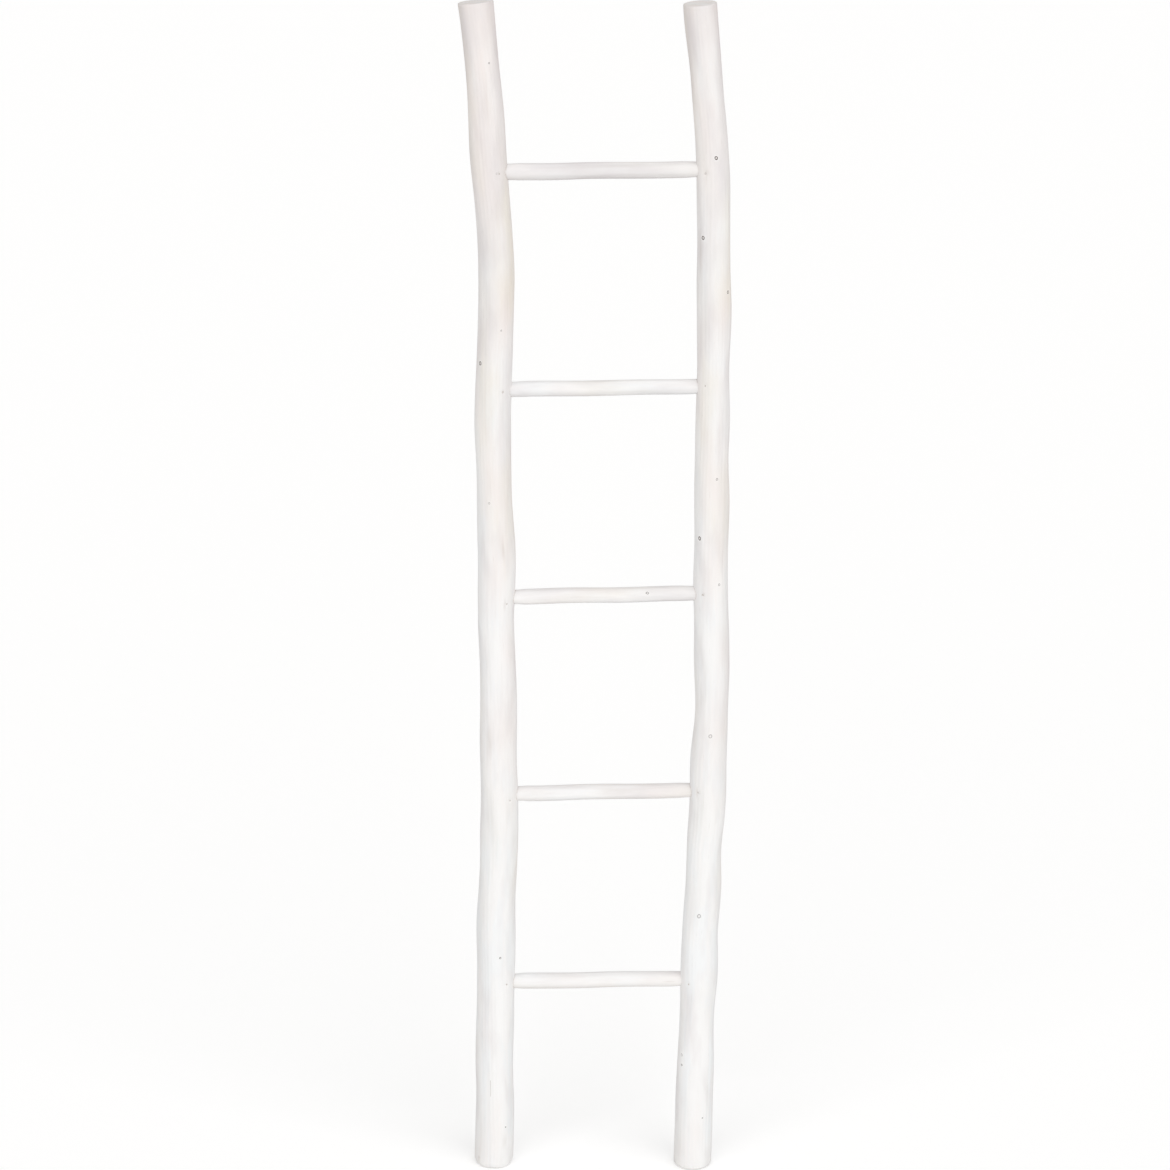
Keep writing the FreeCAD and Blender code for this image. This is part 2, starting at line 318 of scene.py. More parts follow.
def brad_heads(name):
    """Where the middle of each brad's head is: the points of a node's frontmost ends, which are
    gathered by height, because brads stand one above another 300 mm apart."""
    points = node_points(name)
    order = points[np.argsort(points[:, 2])]
    groups = np.split(order, np.flatnonzero(np.diff(order[:, 2]) > 0.1) + 1)
    return [group[group[:, 1] < group[:, 1].min() + 1e-5].mean(0) for group in groups]


def rung_ends(name):
    """The middles of a rung's two end faces, from the ring of points round each."""
    points = node_points(name)
    left = points[points[:, 0] < points[:, 0].min() + 0.0005].mean(0)
    right = points[points[:, 0] > points[:, 0].max() - 0.0005].mean(0)
    return left, right


rung_axes = {name: rung_ends(name) for name in RUNG_NAMES}
heads = {rail: brad_heads(brads) for rail, brads in BRADS.items()}
print("brad heads:", {rail: len(found) for rail, found in heads.items()})
for name, ends in rung_axes.items():
    print(name, "axis in mm:", (1000 * np.array(ends)).round(1).tolist())

# %% The relief itself
RAIL_SEEDS = {"left_rail": 11, "right_rail": 29}
# height in m, least and most turns round, least and most waves to the metre, number of waves
RAIL_WAVES = (
    (0.00034, (1, 4), (2, 9), 14),        # swellings and flats
    (0.00012, (4, 9), (3, 14), 14),       # smaller ones
    (0.00007, (16, 34), (0.5, 5), 20),    # long ridges
)
BOSS_HEIGHT, BOSS_WIDTH = 0.00055, 3.2        # under a knot: metres, ring radii
GROOVE_DEPTH, GROOVE_WIDTH = 0.00045, 0.45    # the ring round it: metres, ring radii
SLIT_WIDTH = 0.0007
DENT_DEPTH, DENT_WIDTH = 0.00085, 0.0023      # at a brad's head


def crack_span(height, low, high):
    """1 along a crack and 0 beyond it. It runs out over 12 mm, but is open at a foot."""
    if low == 0:
        return 1 - smooth(height, high - 0.03, high)
    return smooth(height, low, low + 0.012) * (1 - smooth(height, high - 0.012, high + 0.001))


def rail_relief(rail, angle, height, radius):
    """Height of the surface over the smooth skin, in metres: swellings and flats, long ridges, a
    low boss and a ring-shaped groove at each knot, a slit at each crack, and a dent at each brad.
    A dent is exp(-(distance/width)^4), and a slit is exp(-(distance/width)^2), times the depth."""
    relief = 0
    for number, (size, *wave) in enumerate(RAIL_WAVES):
        relief = relief + size * waves(angle, height, RAIL_SEEDS[rail] + number, *wave)
    distance, darkness = nearest_knot(angle, height, radius, KNOTS[rail])
    relief += BOSS_HEIGHT * np.exp(-((distance / BOSS_WIDTH) ** 2))
    relief -= GROOVE_DEPTH * darkness * np.exp(-(((distance - 1) / GROOVE_WIDTH) ** 2))
    for low, high, degrees, depth in CRACKS[rail]:
        across = turned_by(angle, degrees) * radius
        slit = np.exp(-((across / SLIT_WIDTH) ** 2))
        relief -= depth / 1000 * crack_span(height, low, high) * slit
    for x, y, z in heads[rail]:
        centre_x, centre_y = heart_at(branches[rail], z)
        facing = np.degrees(np.arctan2(y - centre_y, x - centre_x))
        across = turned_by(angle, facing) * radius
        relief -= DENT_DEPTH * np.exp(-(np.hypot(across, height - z) / DENT_WIDTH) ** 4)
    return relief


print("waves of", [1000 * size for size, *_ in RAIL_WAVES], "mm, knots up to",
      1000 * BOSS_HEIGHT, "mm, dents of", 1000 * DENT_DEPTH, "mm")

# %% [markdown]
# ## From a grid to a piece
#
# A branch is a grid of rows (up the branch) and columns (round it). The columns close on
# themselves, and the first and last rows close in a pole in the middle of the sawn ends. Each
# corner carries what the paint needs to know: its place on the straightened branch, which makes
# the grain follow every crook, how near a knot is, how stained, worn, warm and greyed it is, how
# much painted shade it takes where a rung meets a rail, and whether it is end grain.

# %% Make a closed mesh


def tube_mesh(name, grid, start, end, fields):
    """Faces (row, column), (row, column + 1), (row + 1, column + 1), (row + 1, column), with
    columns counted round, and triangles from the first and last rows to the two poles."""
    rows, columns = grid.shape[:2]
    corners = np.concatenate([grid.reshape(-1, 3), [start, end]])
    lower = np.arange(rows * columns).reshape(rows, columns)
    after = np.roll(lower, -1, axis=1)
    quads = np.stack([lower[:-1], after[:-1], after[1:], lower[1:]], axis=-1).reshape(-1, 4)
    foot = np.stack([after[0], lower[0], np.full(columns, rows * columns)], axis=-1)
    head = np.stack([lower[-1], after[-1], np.full(columns, rows * columns + 1)], axis=-1)
    mesh = bpy.data.meshes.new(name)
    mesh.from_pydata(corners.tolist(), [], quads.tolist() + foot.tolist() + head.tolist())
    for key, values in fields.items():
        flat = values.reshape(rows * columns, -1)
        flat = np.concatenate([flat, flat[[0, -1]]]).astype(np.float32)
        kind, slot = ("FLOAT_VECTOR", "vector") if flat.shape[1] == 3 else ("FLOAT", "value")
        mesh.attributes.new(key, kind, "POINT").data.foreach_set(slot, flat.ravel())
    mesh.shade_smooth()
    piece = bpy.data.objects.new(name, mesh)
    bpy.context.scene.collection.objects.link(piece)
    print(name, "triangles", 2 * len(quads) + 2 * columns)
    return piece


def straightened(radius, angle, along):
    """A place on the branch as if it were straight: (radius cos angle, radius sin angle, along)."""
    return np.stack([radius * np.cos(angle), radius * np.sin(angle), along + 0 * radius], axis=-1)


# %% [markdown]
# ## Rails
#
# The feet were sawn level and their arrises rounded off by hand, unevenly, and the tops were sawn
# square to the branch and only touched with sandpaper. The rows of the grid follow this: rows
# round the arrises lie on quarter circles, and the rows near the top tilt until they lie in the
# plane of the cut. Rows lie closer together at the joints, where the brads sit in their dents, and
# at the knots.

# %% Rows of a rail
COLUMNS = 158
BODY_ROWS = 560
FOOT_ROUNDING = 0.0052
FOOT_WANDER = 0.22                          # how uneven the foot's rounding is, as a share
CHIP_AT, CHIP_WIDTH, CHIP_DEPTH = -143, 0.13, 0.003     # left foot: degrees, radians, metres
TOP_ROUNDING = 0.0016
QUARTER = np.radians(np.linspace(0, 90, 9))
JOINT_ROWS, JOINT_REACH = 1.6, 0.011        # extra density at a joint, and metres to each side
KNOT_ROWS, KNOT_REACH = 2.0, 0.0022         # at a knot, and metres for each mm of its radius


def crowd(heights, level, reach):
    """A hill with a flat top, exp(-(distance/reach)^4), round a level."""
    return np.exp(-(((heights - level) / reach) ** 4))


def row_heights(rail):
    """Heights whose spacing is the inverse of a density: a base, more at each joint and knot.
    The running sum of the density is divided into equal steps."""
    fine = np.linspace(0.014, RAIL_LENGTH - 0.004, 6000)
    density = np.full(fine.size, 1.0)
    for left, right in rung_axes.values():
        joint = left if rail == "left_rail" else right
        density += JOINT_ROWS * crowd(fine, joint[2], JOINT_REACH)
    for level, _, ring, _ in KNOTS[rail]:
        density += KNOT_ROWS * crowd(fine, level, ring * KNOT_REACH)
    total = np.cumsum(density)
    return np.interp(np.linspace(total[0], total[-1], BODY_ROWS), total, fine)


def ways_up(rail, turn):
    """How far up each corner of the sides is, and how far it is set in by the rounded arrises:
    on the quarter circles inset = r (1 - sin) and the way up = r (1 - cos)."""
    uneven = waves(turn, 0.0, RAIL_SEEDS[rail] + 5, (1, 6), (0, 1), 6)
    foot = FOOT_ROUNDING * (1 + FOOT_WANDER * uneven)
    if rail == "left_rail":
        foot = foot + CHIP_DEPTH * np.exp(-((turned_by(turn, CHIP_AT) / CHIP_WIDTH) ** 2))
    body = row_heights(rail)[:, None] + 0 * turn
    rising, falling = QUARTER[:, None], QUARTER[::-1, None]
    up = np.concatenate([
        foot * (1 - np.cos(rising)),
        body,
        RAIL_LENGTH - TOP_ROUNDING * (1 - np.cos(falling)) + 0 * turn,
    ])
    inset = np.concatenate([
        foot * (1 - np.sin(rising)),
        0 * body,
        TOP_ROUNDING * (1 - np.sin(falling)) + 0 * turn,
    ])
    return up, inset


spacing = np.diff(row_heights("left_rail"))
print("closest rows are", round(float(spacing.min()) * 1000, 2), "mm apart")

# %% What the paint knows about a rail
# How warm the wood shines through the paint: (height in m, warmth).
WARMTH = {
    "left_rail": (
        (0.0, 0.00), (0.5, 0.15), (0.9, 0.45), (1.2, 0.50), (1.4, 0.80), (1.6, 1.10), (1.73, 1.25),
    ),
    "right_rail": (
        (0.0, 0.00), (0.5, 0.10), (0.9, 0.40), (1.2, 0.50), (1.45, 0.50), (1.6, 0.85), (1.73, 0.95),
    ),
}


def warmth_at(rail, height, angle):
    """Straight between the rows above, with slow waves of 0.12 added."""
    rows = np.array(WARMTH[rail])
    slow = waves(angle, height, 3, (1, 3), (1, 5), 8)
    return np.interp(height, rows[:, 0], rows[:, 1]) + 0.12 * slow


def patina_at(height, angle):
    """How greyed the paint is by handling: it grows towards the top in two steps, with slow
    waves of 0.10 added."""
    grown = 0.25 * smooth(height, 1.05, 1.45) + 0.35 * smooth(height, 1.55, 1.72)
    return grown - 0.10 + 0.10 * waves(angle, height, 8, (1, 3), (1, 5), 8)


CRACK_REACH = 0.0011         # metres from a crack's middle to its painted edge
CUT_STAIN = 0.3              # the share of a stain that goes on over a sawn face
FOOT_WEAR = (0.002, 0.016)   # metres from the foot between which wear fades
TOP_WEAR = (0.004, 0.0005)   # metres from the top between which it grows


def crack_field(rail, angle, level, radius):
    """1 in the middle of a crack, falling straight to 0 at its painted edge."""
    slits = np.zeros(angle.shape)
    for low, high, degrees, _ in CRACKS[rail]:
        near = 1 - np.abs(turned_by(angle, degrees)) * radius / CRACK_REACH
        within = (level > low - 0.001) * (level < high + 0.001)
        slits = np.maximum(slits, np.clip(near, 0, 1) * within)
    return slits


def rail_fields(rail, angle, up, radius, level, shares):
    """What the paint needs at each corner. shares is 1 on the sides and less on the sawn faces,
    whose outermost ring is the first or last row of the sides."""
    knots = KNOTS[rail]
    cut = shares < 0.999
    rim = (up < 1e-6) | (up > RAIL_LENGTH - 1e-6)
    distance, darkness = nearest_knot(angle, level, radius, knots)
    foot_wear = 1 - smooth(up, *FOOT_WEAR)
    top_wear = smooth(up, RAIL_LENGTH - TOP_WEAR[0], RAIL_LENGTH - TOP_WEAR[1])
    stain = stain_field(angle, level, radius, STAINS[rail])
    return {
        "grain": straightened(radius * shares, parted_angle(angle, level, radius, knots), up),
        "knot_distance": np.where(cut, FAR, distance),
        "knot_darkness": darkness,
        "stain": stain * np.where(cut, CUT_STAIN, 1.0),
        "crack": np.where(cut, 0, crack_field(rail, angle, level, radius)),
        "end_grain": np.where(cut | rim, 1.0, 0.0),
        "wear": np.maximum(foot_wear, top_wear),
        "warmth": warmth_at(rail, level, angle),
        "patina": patina_at(level, angle),
    }


print("warmth at the top:", {name: rows[-1][1] for name, rows in WARMTH.items()})

# %% Build a rail
INWARDS = np.array([0.04, 0.2, 0.4, 0.6, 0.78, 0.92])     # rings of a sawn face, as shares
TILT_FROM, TILT_TO = 0.16, 0.01     # metres from the top between which the rows tilt
FADE = 0.01                         # metres from the foot over which the relief begins


def rail_sides(rail, angle, up, inset):
    """Each point is heart(height) + (reach + relief - inset) times its direction. Near the top,
    height falls by slope times the way from the heart, so that the last rows lie square to the
    branch."""
    branch = branches[rail]
    below, above = heart_at(branch, RAIL_LENGTH - 0.01), heart_at(branch, RAIL_LENGTH + 0.01)
    slope_x, slope_y = [(b - a) / 0.02 for a, b in zip(below, above)]
    tilt = smooth(up, RAIL_LENGTH - TILT_FROM, RAIL_LENGTH - TILT_TO)
    radius = reach_at(branch, angle, up)
    level = up - tilt * radius * (slope_x * np.cos(angle) + slope_y * np.sin(angle))
    radius = reach_at(branch, angle, level)
    fade = smooth(up, 0.0, FADE)
    out = radius + fade * rail_relief(rail, angle, level, radius) - inset
    heart_x, heart_y = heart_at(branch, level)
    side = [heart_x + out * np.cos(angle), heart_y + out * np.sin(angle), level]
    return np.stack(side, axis=-1), radius, level


def rail_piece(rail):
    """Sides, and two end faces, whose rings are the first and the last side row drawn together
    towards their middles."""
    branch = branches[rail]
    turn = np.linspace(0, 2 * np.pi, COLUMNS, endpoint=False)[None, :]
    up, inset = ways_up(rail, turn)
    angle = turn + 0 * up
    side, radius, level = rail_sides(rail, angle, up, inset)
    start = np.array([*heart_at(branch, 0.0), 0.0])
    end = np.array([*heart_at(branch, RAIL_LENGTH), RAIL_LENGTH])
    grid = np.concatenate([
        start + INWARDS[:, None, None] * (side[:1] - start),
        side,
        end + INWARDS[::-1, None, None] * (side[-1:] - end),
    ])
    shares = np.concatenate([INWARDS, np.ones(len(side)), INWARDS[::-1]])[:, None] + 0 * turn
    pad = ((len(INWARDS), len(INWARDS)), (0, 0))
    padded = [np.pad(values, pad, mode="edge") for values in (angle, up, radius, level)]
    return tube_mesh(rail + "_branch", grid, start, end, rail_fields(rail, *padded, shares))


rails = {name: rail_piece(name) for name in RAIL_NAMES}

# %% [markdown]
# ## Rungs
#
# Each rung is a straight stick, shaved round by hand: it isn't quite round, has faint flats along
# it and is whittled thinner just before it enters its socket. Paint has gathered in the corner
# round it. To shape those ends well, the rows of the grid are laid parallel to the line where the
# stick meets the rail. That line is found by halving: a point on the axis' side is inside the
# branch when it is nearer to the heart than the branch's reach.

# %% What each rung is like
# diameter at the left and at the right, how much is whittled off there (all mm), flats round it
RUNG_SHAPES = {
    "bottom_rung": (23.4, 22.6, 1.0, 0.5, 7),
    "fourth_rung": (22.5, 21.3, 0.8, 0.4, 6),
    "middle_rung": (22.0, 21.4, 0.9, 0.4, 7),
    "second_rung": (21.6, 20.9, 0.4, 0.3, 6),
    "top_rung": (22.7, 22.1, 0.5, 0.7, 8),
}
# share of the way from left to right, angle (90 is the front, 0 the top), radius in mm, darkness
RUNG_KNOTS = {
    "bottom_rung": ((0.36, 200, 1.4, 0.6),),
    "fourth_rung": ((0.62, 265, 1.6, 0.6),),
    "middle_rung": ((0.70, 62, 1.6, 0.6), (0.25, 190, 1.5, 0.5)),
    "second_rung": ((0.44, 230, 1.6, 0.7),),
    "top_rung": ((0.80, 250, 1.5, 0.5),),
}
# the same share and angle, half length and half width in mm, darkness
RUNG_STAINS = {
    "bottom_rung": ((0.86, 84, 9, 1.1, 0.9),),
    "fourth_rung": ((0.55, 60, 40, 5.0, 0.5), (0.20, 240, 30, 5.0, 0.4)),
    "middle_rung": ((0.35, 75, 45, 4.0, 0.3),),
    "second_rung": ((0.65, 110, 40, 4.0, 0.3),),
    "top_rung": ((0.50, 50, 70, 4.0, 0.4),),
}
# how warm the wood shines through the paint, and how greyed the paint is
RUNG_TONES = {
    "bottom_rung": (0.35, 0.0),
    "fourth_rung": (0.45, 0.05),
    "middle_rung": (0.35, 0.1),
    "second_rung": (0.35, 0.05),
    "top_rung": (0.4, 0.6),
}
print({name: len(rows) for name, rows in RUNG_KNOTS.items()}, "knots on the rungs")

# %% Where a stick meets a branch
RUNG_COLUMNS = 96
INNER_ROWS = 60
# distances of the rows from the rail's surface in mm; the first few are hidden in the socket
NEAR_ROWS = np.array([
    -20, -12, -5, -2, -1, -0.5, 0, 0.25, 0.5, 0.8, 1.2, 1.7, 2.3, 3, 3.8, 4.7, 5.7,
    6.8, 8, 9.3, 10.7, 12.2, 13.8, 15.5, 17.4, 19.5, 22, 25, 28.5,
]) / 1000


def meeting(branch, base, axis, towards, farthest):
    """For each direction round the rung, the distance from base along the axis at which the
    stick's surface line enters the branch. The span is halved 30 times between outside and in."""
    outside = np.zeros(base.shape[0])
    inside = np.full(base.shape[0], farthest)
    for _ in range(30):
        middle = (outside + inside) / 2
        place = base + towards * middle[:, None] * axis
        heart_x, heart_y = heart_at(branch, place[:, 2])
        x, y = place[:, 0] - heart_x, place[:, 1] - heart_y
        within = np.hypot(x, y) < reach_at(branch, np.arctan2(y, x), place[:, 2])
        inside = np.where(within, middle, inside)
        outside = np.where(within, outside, middle)
    return inside


def rung_meetings(name, axis, outward):
    """Where the stick's surface lines enter the left and the right rail, as distances from the
    rung's left end along its axis."""
    left, right = rung_axes[name]
    half = np.linalg.norm(right - left) / 2
    left_size, right_size, left_cut, right_cut, _ = RUNG_SHAPES[name]
    sides = (("left_rail", -1, left_size, left_cut), ("right_rail", 1, right_size, right_cut))
    found = []
    for rail, towards, size, cut in sides:
        base = (left + right) / 2 + outward * (size / 2 - cut + 0.3) / 1000
        found.append(half + towards * meeting(branches[rail], base, axis, towards, half))
    return found


print("rows near a rail:", len(NEAR_ROWS), "on each side, and", INNER_ROWS, "between them")

# %% Build a rung
END_ROWS = 0.032             # metres from the rail where the evenly spaced rows begin
WHITTLED = (0.002, 0.016)    # metres from the rail between which the stick thins
ROUND_END = 0.03             # metres from the rail over which flats and waves fade out
FLATS = 0.010                # how deep flats are, as a share of the radius
# share of the radius, least and most turns round, the same for waves to the metre, their number
RUNG_WAVES = ((0.006, (1, 3), (3, 14), 8), (0.0035, (6, 16), (2, 9), 16))
SWAY = 0.0004                # how far a rung strays from its axis
FILLET_HEIGHT, FILLET_WIDTH = 0.0003, 0.0006
# painted shade in the corner where a rung enters a rail: how dark it is, and its width in metres
JOINT_SHADE_DARKNESS, JOINT_SHADE_WIDTH = 1.3, 0.0011
RUNG_BOSS, RUNG_GROOVE = 0.0004, 0.0002
RUNG_SHADE_REACH = 0.004            # how far from the rail the painted shade greys the stick


def marks_along(rows, length):
    """Marks with their share of the way turned into metres from the rung's left end."""
    return [(length * share, *rest) for share, *rest in rows]


def rung_radius(name, number, angle, along, from_left, span):
    """The diameter goes evenly from left to right, less what is whittled off near the ends. Half
    of it is multiplied by 1 plus flats (a cosine that turns as many times as there are flats)
    and waves, which fade out towards the rails."""
    left_size, right_size, left_cut, right_cut, flats = RUNG_SHAPES[name]
    from_right = span - from_left
    size = left_size + (right_size - left_size) * np.clip(from_left / span, 0, 1)
    size = size - 2 * left_cut * (1 - smooth(from_left, *WHITTLED))
    size = size - 2 * right_cut * (1 - smooth(from_right, *WHITTLED))
    shape = FLATS * np.cos(flats * angle + 5 * along + number)
    for seed, (share, *wave) in zip((number, number + 40), RUNG_WAVES):
        shape += share * waves(angle, along, seed, *wave)
    open_length = smooth(np.minimum(from_left, from_right), 0.0, ROUND_END)
    return size / 2000 * (1 + open_length * shape), open_length


def rung_piece(name, number):
    """A point is left end + axis * distance + direction * radius. A fillet of paint,
    0.3 mm * exp(-distance / 0.6 mm), stands in the corner at each rail, and painted shade darkens
    and greys the stick along that corner. The stick strays from its axis by two slow sine waves."""
    left, right = rung_axes[name]
    length = np.linalg.norm(right - left)
    axis = (right - left) / length
    upward = np.array([0, 0, 1.0]) - axis * axis[2]
    upward /= np.linalg.norm(upward)
    forward = np.cross(axis, upward)
    turn = np.linspace(0, 2 * np.pi, RUNG_COLUMNS, endpoint=False)
    outward = np.cos(turn)[:, None] * upward + np.sin(turn)[:, None] * forward
    ends = rung_meetings(name, axis, outward)
    span = ends[1].mean() - ends[0].mean()
    inner = np.linspace(END_ROWS, span - END_ROWS, INNER_ROWS)
    from_left = np.concatenate([NEAR_ROWS, inner, span - NEAR_ROWS[::-1]])[:, None] + 0 * turn
    share = smooth(from_left, 0.0, span)
    along = from_left + (1 - share) * ends[0] + share * (ends[1] - span)
    angle = turn[None, :] + 0 * along
    radius, open_length = rung_radius(name, number, angle, along, from_left, span)
    nearest = np.clip(np.minimum(from_left, span - from_left), 0, None)
    radius = radius + FILLET_HEIGHT * np.exp(-nearest / FILLET_WIDTH)
    knots = marks_along(RUNG_KNOTS[name], length)
    spots = marks_along(RUNG_STAINS[name], length)
    distance, darkness = nearest_knot(angle, along, radius, knots)
    radius = radius + RUNG_BOSS * np.exp(-((distance / 3) ** 2))
    radius = radius - RUNG_GROOVE * np.exp(-(((distance - 1) / 0.5) ** 2))
    bend = open_length * SWAY * np.sin(2 * np.pi * along / span + number)
    lift = open_length * SWAY * np.sin(3.3 * np.pi * along / span + 2 * number)
    grid = left + along[..., None] * axis + radius[..., None] * outward
    grid = grid + bend[..., None] * forward + lift[..., None] * upward
    warmth, patina = RUNG_TONES[name]
    # painted shade along the corner at each rail: darkest at the rail, fading within about 2 mm
    joint_shade = JOINT_SHADE_DARKNESS * np.exp(-((nearest / JOINT_SHADE_WIDTH) ** 2))
    parted = parted_angle(angle, along, radius, knots)
    fields = {
        "grain": straightened(radius, parted, along + 3 * number),
        "knot_distance": distance,
        "knot_darkness": darkness,
        # the stains carry the painted shade along the corner at each rail as well
        "stain": stain_field(angle, along, radius, spots) + joint_shade,
        "crack": 0 * angle,
        "end_grain": 0 * angle,
        # painted shade that greys the stick towards each rail
        "wear": np.exp(-nearest / RUNG_SHADE_REACH),
        "warmth": 0 * angle + warmth,
        "patina": patina + 0.05 * np.cos(angle),
    }
    return tube_mesh(name + "_stick", grid, grid[0].mean(0), grid[-1].mean(0), fields)


rungs = {name: rung_piece(name, number) for number, name in enumerate(RUNG_NAMES)}

# %% [markdown]
# ## The whitewash
#
# Whitewash is thin: it lies thick in some brush strokes and lets the wood through in others. So the
# finish is two colours and how much of each shows. How much is decided by noise that is
# stretched along the grain: fine fibres, brush strokes and large patches, all read from the grain
# attribute, which runs straight up the branch however crooked it is. Knots, stains, painted shade
# where a rung meets a rail, cracks and end grain are laid over that from their attributes. An image
# would be simpler but would show its seam.

# %% Small helpers for node trees


class Tree:
    """A material's nodes. add() makes one; an input given a socket is linked, and one given a
    value is set."""

    def __init__(self, name):
        self.material = bpy.data.materials.new(name)
        self.material.use_nodes = True
        self.tree = self.material.node_tree
        self.tree.nodes.clear()

    def add(self, kind, inputs=None, **settings):
        node = self.tree.nodes.new("ShaderNode" + kind)
        for key, value in settings.items():
            setattr(node, key, value)
        for key, value in (inputs or {}).items():
            if isinstance(value, bpy.types.NodeSocket):
                self.tree.links.new(value, node.inputs[key])
            else:
                node.inputs[key].default_value = value
        return node

    def field(self, name, output="Fac"):
        """What the mesh carries under that name."""
        return self.add("Attribute", attribute_name=name).outputs[output]

    def work(self, operation, *values):
        """What the operation makes of the values."""
        return self.add("Math", dict(enumerate(values)), operation=operation).outputs[0]

    def sum_of(self, *terms):
        """The terms added up. A term is a socket or (socket, factor)."""
        total = None
        for term in terms:
            socket, factor = term if isinstance(term, tuple) else (term, 1.0)
            if total is None:
                total = self.work("MULTIPLY", socket, factor)
            else:
                total = self.work("MULTIPLY_ADD", socket, factor, total)
        return total

    def ranged(self, value, low, high, out_low=0.0, out_high=1.0, smooth_ends=True):
        """The value's way from low to high, as a way from out_low to out_high, and held there."""
        kind = "SMOOTHSTEP" if smooth_ends else "LINEAR"
        inputs = {"Value": value, "From Min": low, "From Max": high}
        inputs.update({"To Min": out_low, "To Max": out_high})
        return self.add("MapRange", inputs, interpolation_type=kind).outputs["Result"]

    def stretched_noise(self, vector, stretch, scale, detail=3.0, rough=0.5, shift=0.0):
        """Noise whose spots are longer along the grain by 1 / stretch."""
        place = {"Vector": vector, "Scale": (1.0, 1.0, stretch), "Location": (shift, shift, shift)}
        mapped = self.add("Mapping", place).outputs[0]
        inputs = {"Vector": mapped, "Scale": scale, "Detail": detail, "Roughness": rough}
        return self.add("TexNoise", inputs).outputs["Fac"]

    def mix(self, factor, under, over):
        """Colour over laid on colour under, as thick as the factor says."""
        node = self.add("Mix", {0: factor}, data_type="RGBA")
        for index, colour in ((6, under), (7, over)):
            if isinstance(colour, bpy.types.NodeSocket):
                self.tree.links.new(colour, node.inputs[index])
            else:
                node.inputs[index].default_value = (*colour, 1.0)
        return node.outputs[2]


print("helpers:", [name for name in vars(Tree) if not name.startswith("_")])

# %% Colours and noises of the finish
PAINT = (0.895, 0.886, 0.882)
COOL_PAINT = (0.875, 0.884, 0.892)
TAN_WOOD = (0.810, 0.722, 0.615)
PINK_WOOD = (0.835, 0.738, 0.702)
GREY_WOOD = (0.730, 0.710, 0.695)
MAUVE = (0.720, 0.680, 0.685)
BROWN = (0.300, 0.215, 0.150)
DARK = (0.060, 0.045, 0.035)
# brown of the stains, and of the painted shade in the corners where the rungs meet the rails
STAIN_AND_JOINT_SHADE_BROWN = (0.42, 0.34, 0.28)
CRACK_BROWN = (0.25, 0.19, 0.15)
KNOT_HALO = (0.93, 0.92, 0.91)
KNOT_HEART = (0.56, 0.47, 0.40)
EARLY_WOOD = (0.840, 0.745, 0.690)
LATE_WOOD = (0.700, 0.560, 0.470)
PORES = (0.480, 0.360, 0.280)
# stretch along the grain, scale, detail, roughness, shift
NOISES = {
    "fibres": (0.045, 620.0, 4.0, 0.6, 0.0),
    "strands": (0.06, 210.0, 3.0, 0.6, 3.0),
    "strokes": (0.16, 62.0, 3.0, 0.55, 7.0),
    "patches": (0.35, 19.0, 2.0, 0.5, 11.0),
    "hue": (0.30, 14.0, 2.0, 0.5, 17.0),
    "greying": (0.22, 34.0, 3.0, 0.55, 23.0),
    "bruises": (0.25, 48.0, 2.0, 0.5, 31.0),
}
print("noises:", list(NOISES))

# %% Layers of the finish


def brushed(t, noise, bareness):
    """Thin paint over pink or tan wood. The wood shows through where the sum of fibres, strands,
    strokes, patches and warmth, each times its weight, is high."""
    thin = t.sum_of(
        (noise["fibres"], 0.20), (noise["strands"], 0.40), (noise["strokes"], 0.85),
        (noise["patches"], 1.85), (t.field("warmth"), 0.9),
    )
    thin = t.ranged(thin, 1.6 - 0.5 * bareness, 3.1 - 0.5 * bareness, 0.0, 0.75)
    wood = t.mix(t.ranged(noise["hue"], 0.42, 0.62), PINK_WOOD, TAN_WOOD)
    paint = t.mix(t.ranged(noise["strokes"], 0.42, 0.6), PAINT, COOL_PAINT)
    return t.mix(thin, paint, wood)


def handled(t, noise, colour):
    """Grey patches, mauve bruises where the paint is greyed, grey strands, brown hairs, and
    stains that the strands break up, with the painted shade at the rungs' joints among them, laid
    over the colour one after another."""
    colour = t.mix(t.ranged(noise["greying"], 0.52, 0.78, 0.0, 0.30), colour, GREY_WOOD)
    bruise = t.sum_of(noise["bruises"], (t.field("patina"), 0.5))
    colour = t.mix(t.ranged(bruise, 0.45, 1.05, 0.0, 0.9, False), colour, MAUVE)
    colour = t.mix(t.ranged(noise["strands"], 0.60, 0.76, 0.0, 0.10), colour, GREY_WOOD)
    colour = t.mix(t.ranged(noise["fibres"], 0.64, 0.75, 0.0, 0.10), colour, BROWN)
    # stains, and the painted shade darkening the corner where a rung meets a rail, speckled by the
    # strands
    speckle = t.ranged(noise["strands"], 0.35, 0.65, 0.45, 1.0)
    stained = t.work("MULTIPLY", t.field("stain"), speckle)
    return t.mix(t.ranged(stained, 0.05, 1.4, 0.0, 0.55, False), colour, STAIN_AND_JOINT_SHADE_BROWN)


def knotted(t, grain, colour):
    """A knot is a pale worn halo, a brown heart and a dark ring, all times the knot's darkness.
    Fine noise added to the distance makes them ragged. The ring is where the distance from
    1.25 ring radii is small."""
    ragged = t.stretched_noise(grain, 0.8, 900.0, 2.0, 0.5, 5.0)
    distance = t.sum_of(t.field("knot_distance"), (ragged, 0.5))
    from_ring = t.work("ABSOLUTE", t.work("SUBTRACT", distance, 1.25))
    layers = (
        (t.ranged(distance, 1.7, 3.4, 0.28, 0.0), KNOT_HALO),
        (t.ranged(distance, 0.55, 0.95, 0.45, 0.0), KNOT_HEART),
        (t.ranged(from_ring, 0.16, 0.38, 1.0, 0.0), DARK),
    )
    darkness = t.field("knot_darkness")
    for thickness, over in layers:
        colour = t.mix(t.work("MULTIPLY", thickness, darkness), colour, over)
    return colour


